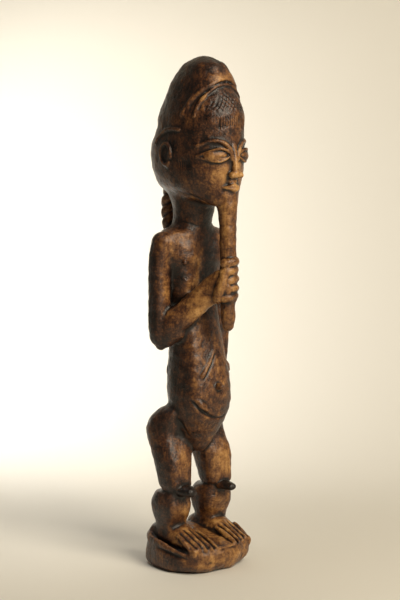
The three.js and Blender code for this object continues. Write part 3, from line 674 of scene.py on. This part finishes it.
# Wear, a thicker dark coat, and painted shade and painted light at the listed spots, in one attribute.
wear_and_painted_light = wear_and_painted_light_spots(wear_and_painted_light_places)
dense = to_mesh("male_figure_dense", skin, skin_faces)
for attribute, values in (("hollow", hollow), ("wear_and_painted_light", wear_and_painted_light)):
    dense.attributes.new(attribute, "FLOAT", "POINT").data.foreach_set("value", values.astype(np.float32))
MOST_TRIANGLES = 196000
mesh = evaluated(dense, "DECIMATE", ratio=min(1.0, MOST_TRIANGLES / len(skin_faces)),
                 use_collapse_triangulate=True)
mesh.name = "carved_figure"
mesh.shade_smooth()
male = bpy.data.objects.new("carved_figure", mesh)
bpy.context.scene.collection.objects.link(male)


# The finish: a dense brown hardwood under a dark, oiled patina of soot, palm oil and handling.
# It is semi-gloss where hands rubbed it, worn to ochre wood on edges, and matt and dusty in cuts.
def colour(hex_value):
    """An sRGB hex value as linear RGBA."""
    channels = [int(hex_value[i:i + 2], 16) / 255 for i in (1, 3, 5)]
    return [c / 12.92 if c <= 0.04045 else ((c + 0.055) / 1.055) ** 2.4 for c in channels] + [1.0]


hardwood = bpy.data.materials.new("oiled_dark_hardwood")
hardwood.use_nodes = True
tree = hardwood.node_tree
shader = tree.nodes["Principled BSDF"]


def add(kind, settings=(), **links):
    """Adds a node. Settings are pairs of a property or socket and its value. Links are sockets,
    by name or as i and a number, with the socket or the plain value that goes in."""
    made = tree.nodes.new(kind)
    for key, value in settings:
        if key in made.inputs.keys():
            made.inputs[key].default_value = value
        else:
            setattr(made, key, value)
    for key, source in links.items():
        socket = made.inputs[int(key[1:])] if key[1:].isdigit() else made.inputs[key]
        if isinstance(source, bpy.types.NodeSocket):
            tree.links.new(source, socket)
        else:
            socket.default_value = source
    return made.outputs


def per(size_mm):
    """The scale at which a pattern's features are that many millimetres apart."""
    return 1 / (size_mm * MM)


place = add("ShaderNodeTexCoord")["Object"]
depth = add("ShaderNodeAttribute", [("attribute_name", "hollow")])["Fac"]
# This attribute carries wear and the painted light and shade of the listed spots.
wear_and_painted_light_fac = add("ShaderNodeAttribute", [("attribute_name", "wear_and_painted_light")])["Fac"]
along_grain = add("ShaderNodeMapping", [("Scale", (1, 1, 0.1))], Vector=place)["Vector"]
patterns = {}
for name, size_mm, detail, rough_share, source in (
        ("grain", 2.2, 4, 0.6, along_grain), ("streak", 9, 3, 0.6, along_grain),
        ("broad", 34, 3, 0.55, place), ("patch", 8, 5, 0.66, place), ("speck", 1.8, 3, 0.7, place)):
    patterns[name] = add("ShaderNodeTexNoise", (("Scale", per(size_mm)), ("Detail", detail),
                                                ("Roughness", rough_share)), Vector=source)["Fac"]

# How bare the wood is: a base, with the listed spots of wear and of painted light and shade, less the depth
# of the cut, and uneven at every scale.
bare = add("ShaderNodeMath", [("operation", "MULTIPLY_ADD")], i0=depth, i1=-0.16, i2=wear_and_painted_light_fac)[0]
bare = add("ShaderNodeMath", [("operation", "ADD")], i0=bare, i1=0.32)[0]
for name, amount in (("broad", 0.6), ("patch", 1.1), ("speck", 0.8), ("grain", 0.35), ("streak", 0.4)):
    centred = add("ShaderNodeMath", [("operation", "SUBTRACT")], i0=patterns[name], i1=0.5)[0]
    bare = add("ShaderNodeMath", [("operation", "MULTIPLY_ADD")], i0=centred, i1=amount, i2=bare)[0]
ramp = tree.nodes.new("ShaderNodeValToRGB")
stops = ((0.0, "#0f0806"), (0.18, "#24150d"), (0.36, "#442818"), (0.54, "#6c4625"), (0.75, "#9a6e3c"),
         (1.0, "#c4965a"))
while len(ramp.color_ramp.elements) < len(stops):
    ramp.color_ramp.elements.new(0.5)
for element, (position, shade) in zip(ramp.color_ramp.elements, stops):
    element.position, element.color = position, colour(shade)
tree.links.new(bare, ramp.inputs["Fac"])

# Reddish grains of old crust lie on the worn wood, and black grime fills the cuts.
rust = add("ShaderNodeMapRange", (("From Min", 0.55), ("From Max", 0.66), ("To Max", 0.3)),
           Value=patterns["speck"])["Result"]
red = add("ShaderNodeMix", [("data_type", "RGBA")], i0=rust, i6=ramp.outputs[0], i7=colour("#6e4228"))[2]
filled = add("ShaderNodeMapRange", (("From Min", 0.1), ("From Max", 0.65), ("To Max", 0.88)),
             Value=depth)["Result"]
grime = add("ShaderNodeMix", [("data_type", "RGBA")], i0=filled, i6=red, i7=colour("#0e0805"))[2]
tree.links.new(grime, shader.inputs["Base Color"])
dull = add("ShaderNodeMapRange", (("From Min", 0.3), ("From Max", 0.7), ("To Min", 0.26),
                                  ("To Max", 0.5)), Value=patterns["patch"])["Result"]
tree.links.new(dull, shader.inputs["Roughness"])
shader.inputs["IOR"].default_value = 1.5
crust = add("ShaderNodeMath", [("operation", "MULTIPLY_ADD")], i0=patterns["grain"], i1=0.4,
            i2=patterns["speck"])[0]
bump = add("ShaderNodeBump", (("Strength", 0.6), ("Distance", 0.0008)), Height=crust)
tree.links.new(bump["Normal"], shader.inputs["Normal"])
mesh.materials.append(hardwood)

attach(male, "root")
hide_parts("male_figure")


# A plain pale floor that curves up behind the figure, as a paper sweep does in a studio.
PAPER_FLAT, PAPER_CURVE = 260.0, 520.0
pale = bpy.data.materials.new("pale_paper")
pale.use_nodes = True
paper = pale.node_tree.nodes["Principled BSDF"]
paper.inputs["Base Color"].default_value = colour("#e0ddd4")
paper.inputs["Roughness"].default_value = 0.9
turn = np.linspace(0, math.pi / 2, 48)
run_back = np.concatenate([np.linspace(-1700, PAPER_FLAT, 12),
                           PAPER_FLAT + PAPER_CURVE * np.sin(turn)[1:], np.full(6, PAPER_FLAT + PAPER_CURVE)])
rise = np.concatenate([np.zeros(12), PAPER_CURVE * (1 - np.cos(turn))[1:],
                       PAPER_CURVE + np.linspace(100, 1500, 6)])
sideways = np.linspace(-2200, 2200, 9)
ahead, across_view = np.array([0.6691, 0.7431]), np.array([0.7431, -0.6691])
rows = run_back[:, None, None] * ahead + sideways[None, :, None] * across_view
rows = np.dstack([rows, np.broadcast_to(rise[:, None], rows.shape[:2])])
corner = np.arange(len(rise) - 1)[:, None] * len(sideways) + np.arange(len(sideways) - 1)
squares = np.stack([corner, corner + 1, corner + 1 + len(sideways), corner + len(sideways)], -1)
floor_mesh = to_mesh("floor", rows.reshape(-1, 3), squares.reshape(-1, 4))
floor_mesh.shade_smooth()
floor_mesh.materials.append(pale)
floor = bpy.data.objects.new("floor", floor_mesh)
bpy.context.scene.collection.objects.link(floor)


# Soft studio light: one big lamp to the right, in front and high, a wash on the paper behind,
# bright enough to rim his arm and shoulder, and a weak spot on the floor that thins his shadow.
def aimed(way):
    """The turn that points an object's -Z along a way, with its X level."""
    x, y, z = way / np.linalg.norm(way)
    return math.acos(-z), 0.0, math.atan2(-x, y)


def lamp(name, place_mm, aim_mm, size_mm, watts, tint):
    """A square area lamp at a place, turned to shine at another."""
    data = bpy.data.lights.new(name, "AREA")
    data.size, data.energy, data.color = size_mm * MM, watts, colour(tint)[:3]
    made = bpy.data.objects.new(name, data)
    made.location = np.array(place_mm) * MM
    made.rotation_euler = aimed(np.subtract(aim_mm, place_mm))
    bpy.context.scene.collection.objects.link(made)


def in_view(sideways_mm, back_mm, up_mm):
    """A place from its distances to the right of, behind and above the figure in the picture."""
    return (*(sideways_mm * across_view + back_mm * ahead), up_mm)


lamp("key", in_view(770, -855, 1030), (0, 0, 240), 800, 22, "#fff2dc")
for name, spot_from, spot_to, watts, degrees in (
        ("paper_wash", in_view(-400, 250, 440), in_view(-120, 780, 90), 18, 125),
        ("floor_fill", in_view(-260, 40, 800), in_view(-165, 90, 0), 9, 34)):
    spot = bpy.data.lights.new(name, "SPOT")
    spot.energy, spot.spot_size, spot.spot_blend = watts, math.radians(degrees), 1.0
    spot.color, spot.shadow_soft_size = colour("#fffcf8")[:3], 0.12
    made = bpy.data.objects.new(name, spot)
    made.location = np.array(spot_from) * MM
    made.rotation_euler = aimed(np.subtract(spot_to, spot_from))
    bpy.context.scene.collection.objects.link(made)
world = bpy.data.worlds.new("studio")
bpy.context.scene.world = world
world.use_nodes = True
world.node_tree.nodes["Background"].inputs["Color"].default_value = colour("#fbf3e4")
world.node_tree.nodes["Background"].inputs["Strength"].default_value = 0.1
# The plain transform shows the paper and the wood as bright as the lamps make them.
bpy.context.scene.view_settings.view_transform = "Standard"


# The camera stands low on the figure's right front, at the photograph's angle.
camera_data = bpy.data.cameras.new("camera")
camera_data.sensor_fit = "VERTICAL"
camera_data.sensor_height, camera_data.lens, camera_data.clip_start = 36, 85, 0.01
camera = bpy.data.objects.new("camera", camera_data)
camera_mm = np.array(in_view(0, -1250, 370))
camera.location = camera_mm * MM
camera.rotation_euler = aimed(np.array([1.3, -1.2, 237.5]) - camera_mm)
bpy.context.scene.collection.objects.link(camera)
bpy.context.scene.camera = camera
